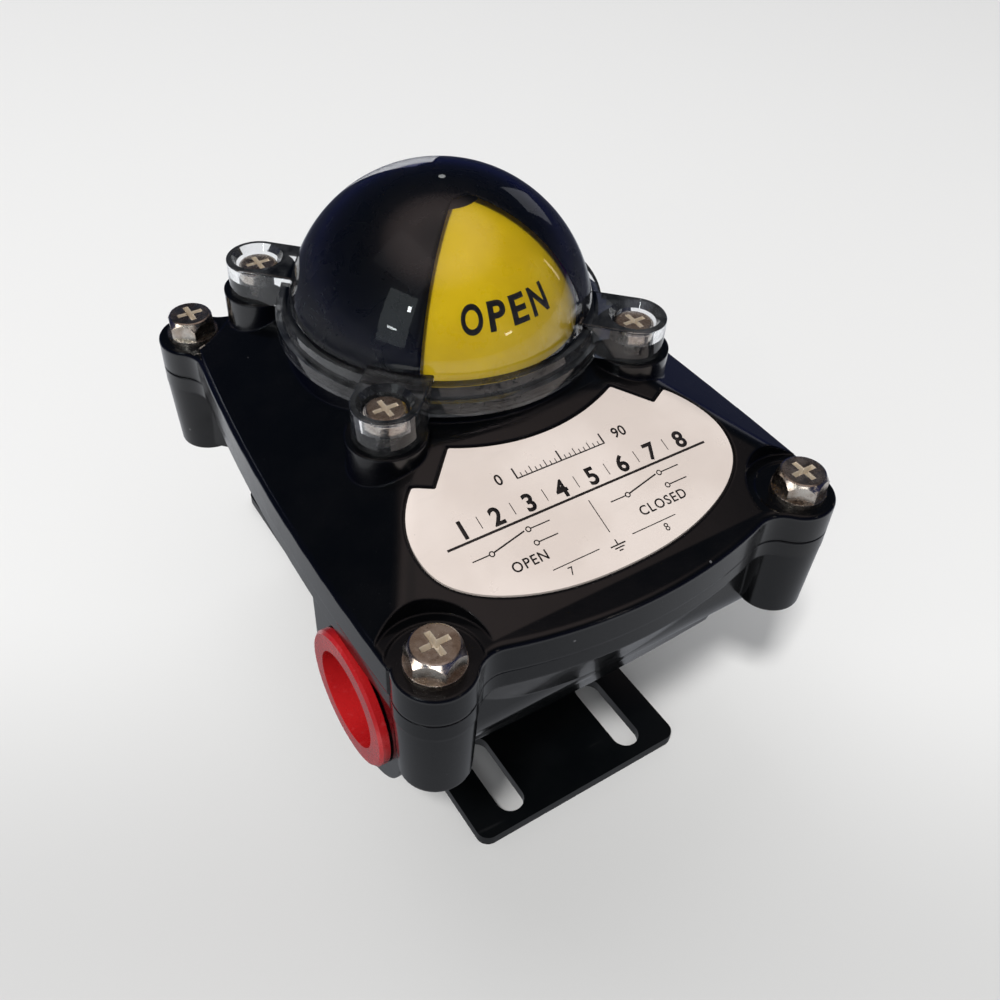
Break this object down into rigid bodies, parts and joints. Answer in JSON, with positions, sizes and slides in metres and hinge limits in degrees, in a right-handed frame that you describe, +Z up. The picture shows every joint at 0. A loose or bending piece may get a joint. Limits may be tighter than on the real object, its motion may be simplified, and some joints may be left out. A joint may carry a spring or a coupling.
{
  "type": "valve limit switch box",
  "caption": "Rotary valve limit switch box: black cast housing with clear dome position indicator, cable entries, label plate and steel mounting bracket.",
  "frame": {"origin": "centre of the shaft's round end, at the shoulder that rests on the actuator pinion, 20 mm above the undersides of the bracket feet", "axes": "+Z up along the shaft, -Y towards the label end, +X to the right seen from the label end"},
  "size_m": [0.0893, 0.1274, 0.1129],
  "materials": {
    "black_coat": "gloss powder coat on die-cast aluminium",
    "bracket_black": "satin black coated steel sheet",
    "zinc_screw": "zinc plated",
    "seal_rubber": "black nitrile",
    "bush_bronze": "sintered bronze",
    "shaft_steel": "turned stainless steel",
    "spring_steel": "spring steel",
    "cam_red": "moulded acetal",
    "cam_yellow": "moulded acetal",
    "white_plastic": "moulded nylon",
    "zinc_plate": "zinc plated sheet",
    "switch_black": "moulded phenolic",
    "tab_brass": "stamped brass",
    "terminal_grey": "moulded polyamide",
    "earth_brass": "turned brass",
    "wire_black": "insulated wire",
    "wire_blue": "insulated wire",
    "wire_red": "insulated wire",
    "plug_red": "moulded polyethylene",
    "label_silver": "printed satin foil",
    "bolt_nickel": "nickel plated steel",
    "dome_clear": "clear moulded polycarbonate",
    "mask_black": "gloss black skin",
    "spindle_black": "moulded plastic",
    "sector_yellow": "moulded plastic, printed word",
    "sector_red": "moulded plastic, printed word"
  },
  "bodies": {
    "base": {"housing_body": "black_coat", "mounting_bracket": "bracket_black", "bracket_screws": "zinc_screw", "bracket_spring_washers": "zinc_screw", "cover_gasket": "seal_rubber", "shaft_seal": "seal_rubber", "shaft_bush": "bush_bronze", "switch_carrier": "zinc_plate", "switch_carrier_screws": "zinc_screw", "switch_case_lower": "switch_black", "switch_case_upper": "switch_black", "switch_tabs_lower": "tab_brass", "switch_tabs_upper": "tab_brass", "lever_pin_lower": "shaft_steel", "lever_pin_upper": "shaft_steel", "switch_spacers": "white_plastic", "switch_screws": "zinc_screw", "terminal_block": "terminal_grey", "terminal_screws": "zinc_screw", "terminal_block_screws": "zinc_screw", "earth_screw": "earth_brass", "wire_lower_1": "wire_black", "wire_lower_2": "wire_blue", "wire_lower_3": "wire_red", "wire_upper_1": "wire_black", "wire_upper_2": "wire_blue", "wire_upper_3": "wire_red"},
    "shaft": {"main_shaft": "shaft_steel", "shaft_circlip": "spring_steel", "cam_clip": "spring_steel", "cam_lower": "cam_red", "cam_upper": "cam_yellow", "cam_spacer": "white_plastic", "cam_spring": "spring_steel"},
    "cover": {"cover": "black_coat", "label_plate": "label_silver", "dome_gasket": "seal_rubber", "spindle_bush": "bush_bronze", "cover_bolt_washers": "bolt_nickel", "cover_bolts": "bolt_nickel", "bolt_retainers": "white_plastic", "dome": "dome_clear", "dome_screws": "bolt_nickel", "dome_mask": "mask_black"},
    "indicator": {"indicator_spindle": "spindle_black", "indicator_open": "sector_yellow", "indicator_closed": "sector_red", "indicator_cap": "spindle_black"},
    "lever_lower": {"lever_lower": "spring_steel", "roller_pin_lower": "shaft_steel"},
    "lever_upper": {"lever_upper": "spring_steel", "roller_pin_upper": "shaft_steel"},
    "roller_lower": {"roller_lower": "white_plastic"},
    "roller_upper": {"roller_upper": "white_plastic"},
    "plunger_lower": {"plunger_lower": "cam_red"},
    "plunger_upper": {"plunger_upper": "cam_red"},
    "plug": {"entry_plug": "plug_red"}
  },
  "joints": [
    {"name": "shaft_turn", "type": "hinge", "parent": "base", "child": "shaft", "pos_m": [0, 0, 0], "axis": [0, 0, -1], "range_deg": [0, 90]},
    {"name": "cover_lift", "type": "slide", "parent": "base", "child": "cover", "axis": [0, 0, 1], "range_m": [0, 0.075]},
    {"name": "indicator_turn", "type": "hinge", "parent": "cover", "child": "indicator", "pos_m": [0, 0, 0.0644], "axis": [0, 0, -1], "range_deg": [0, 90]},
    {"name": "lever_lower_swing", "type": "hinge", "parent": "base", "child": "lever_lower", "pos_m": [0.0085, 0.0122, 0.0266], "axis": [0, 0, 1], "range_deg": [0, 8.3]},
    {"name": "lever_upper_swing", "type": "hinge", "parent": "base", "child": "lever_upper", "pos_m": [0.0085, 0.0122, 0.0356], "axis": [0, 0, -1], "range_deg": [0, 8.3]},
    {"name": "roller_lower_spin", "type": "hinge", "parent": "lever_lower", "child": "roller_lower", "pos_m": [-0.006, 0.00958, 0.0266], "axis": [0, 0, 1], "continuous": true},
    {"name": "roller_upper_spin", "type": "hinge", "parent": "lever_upper", "child": "roller_upper", "pos_m": [-0.00547, 0.00752, 0.0356], "axis": [0, 0, 1], "continuous": true},
    {"name": "plunger_lower_stroke", "type": "slide", "parent": "base", "child": "plunger_lower", "axis": [0, -1, 0], "range_m": [0, 0.00092]},
    {"name": "plunger_upper_stroke", "type": "slide", "parent": "base", "child": "plunger_upper", "axis": [0, 1, 0], "range_m": [0, 0.00092]},
    {"name": "plug_pull", "type": "slide", "parent": "base", "child": "plug", "axis": [-1, 0, 0], "range_m": [0, 0.025]}
  ],
  "couplings": [
    {"joint": "indicator_turn", "follows": "shaft_turn", "ratio": 1},
    {"joint": "lever_lower_swing", "follows": "shaft_turn", "ratio": 0.091784},
    {"joint": "lever_upper_swing", "follows": "shaft_turn", "ratio": 0.091784},
    {"joint": "plunger_lower_stroke", "follows": "shaft_turn", "m_per_rad": 0.00058085},
    {"joint": "plunger_upper_stroke", "follows": "shaft_turn", "m_per_rad": 0.00058085}
  ]
}
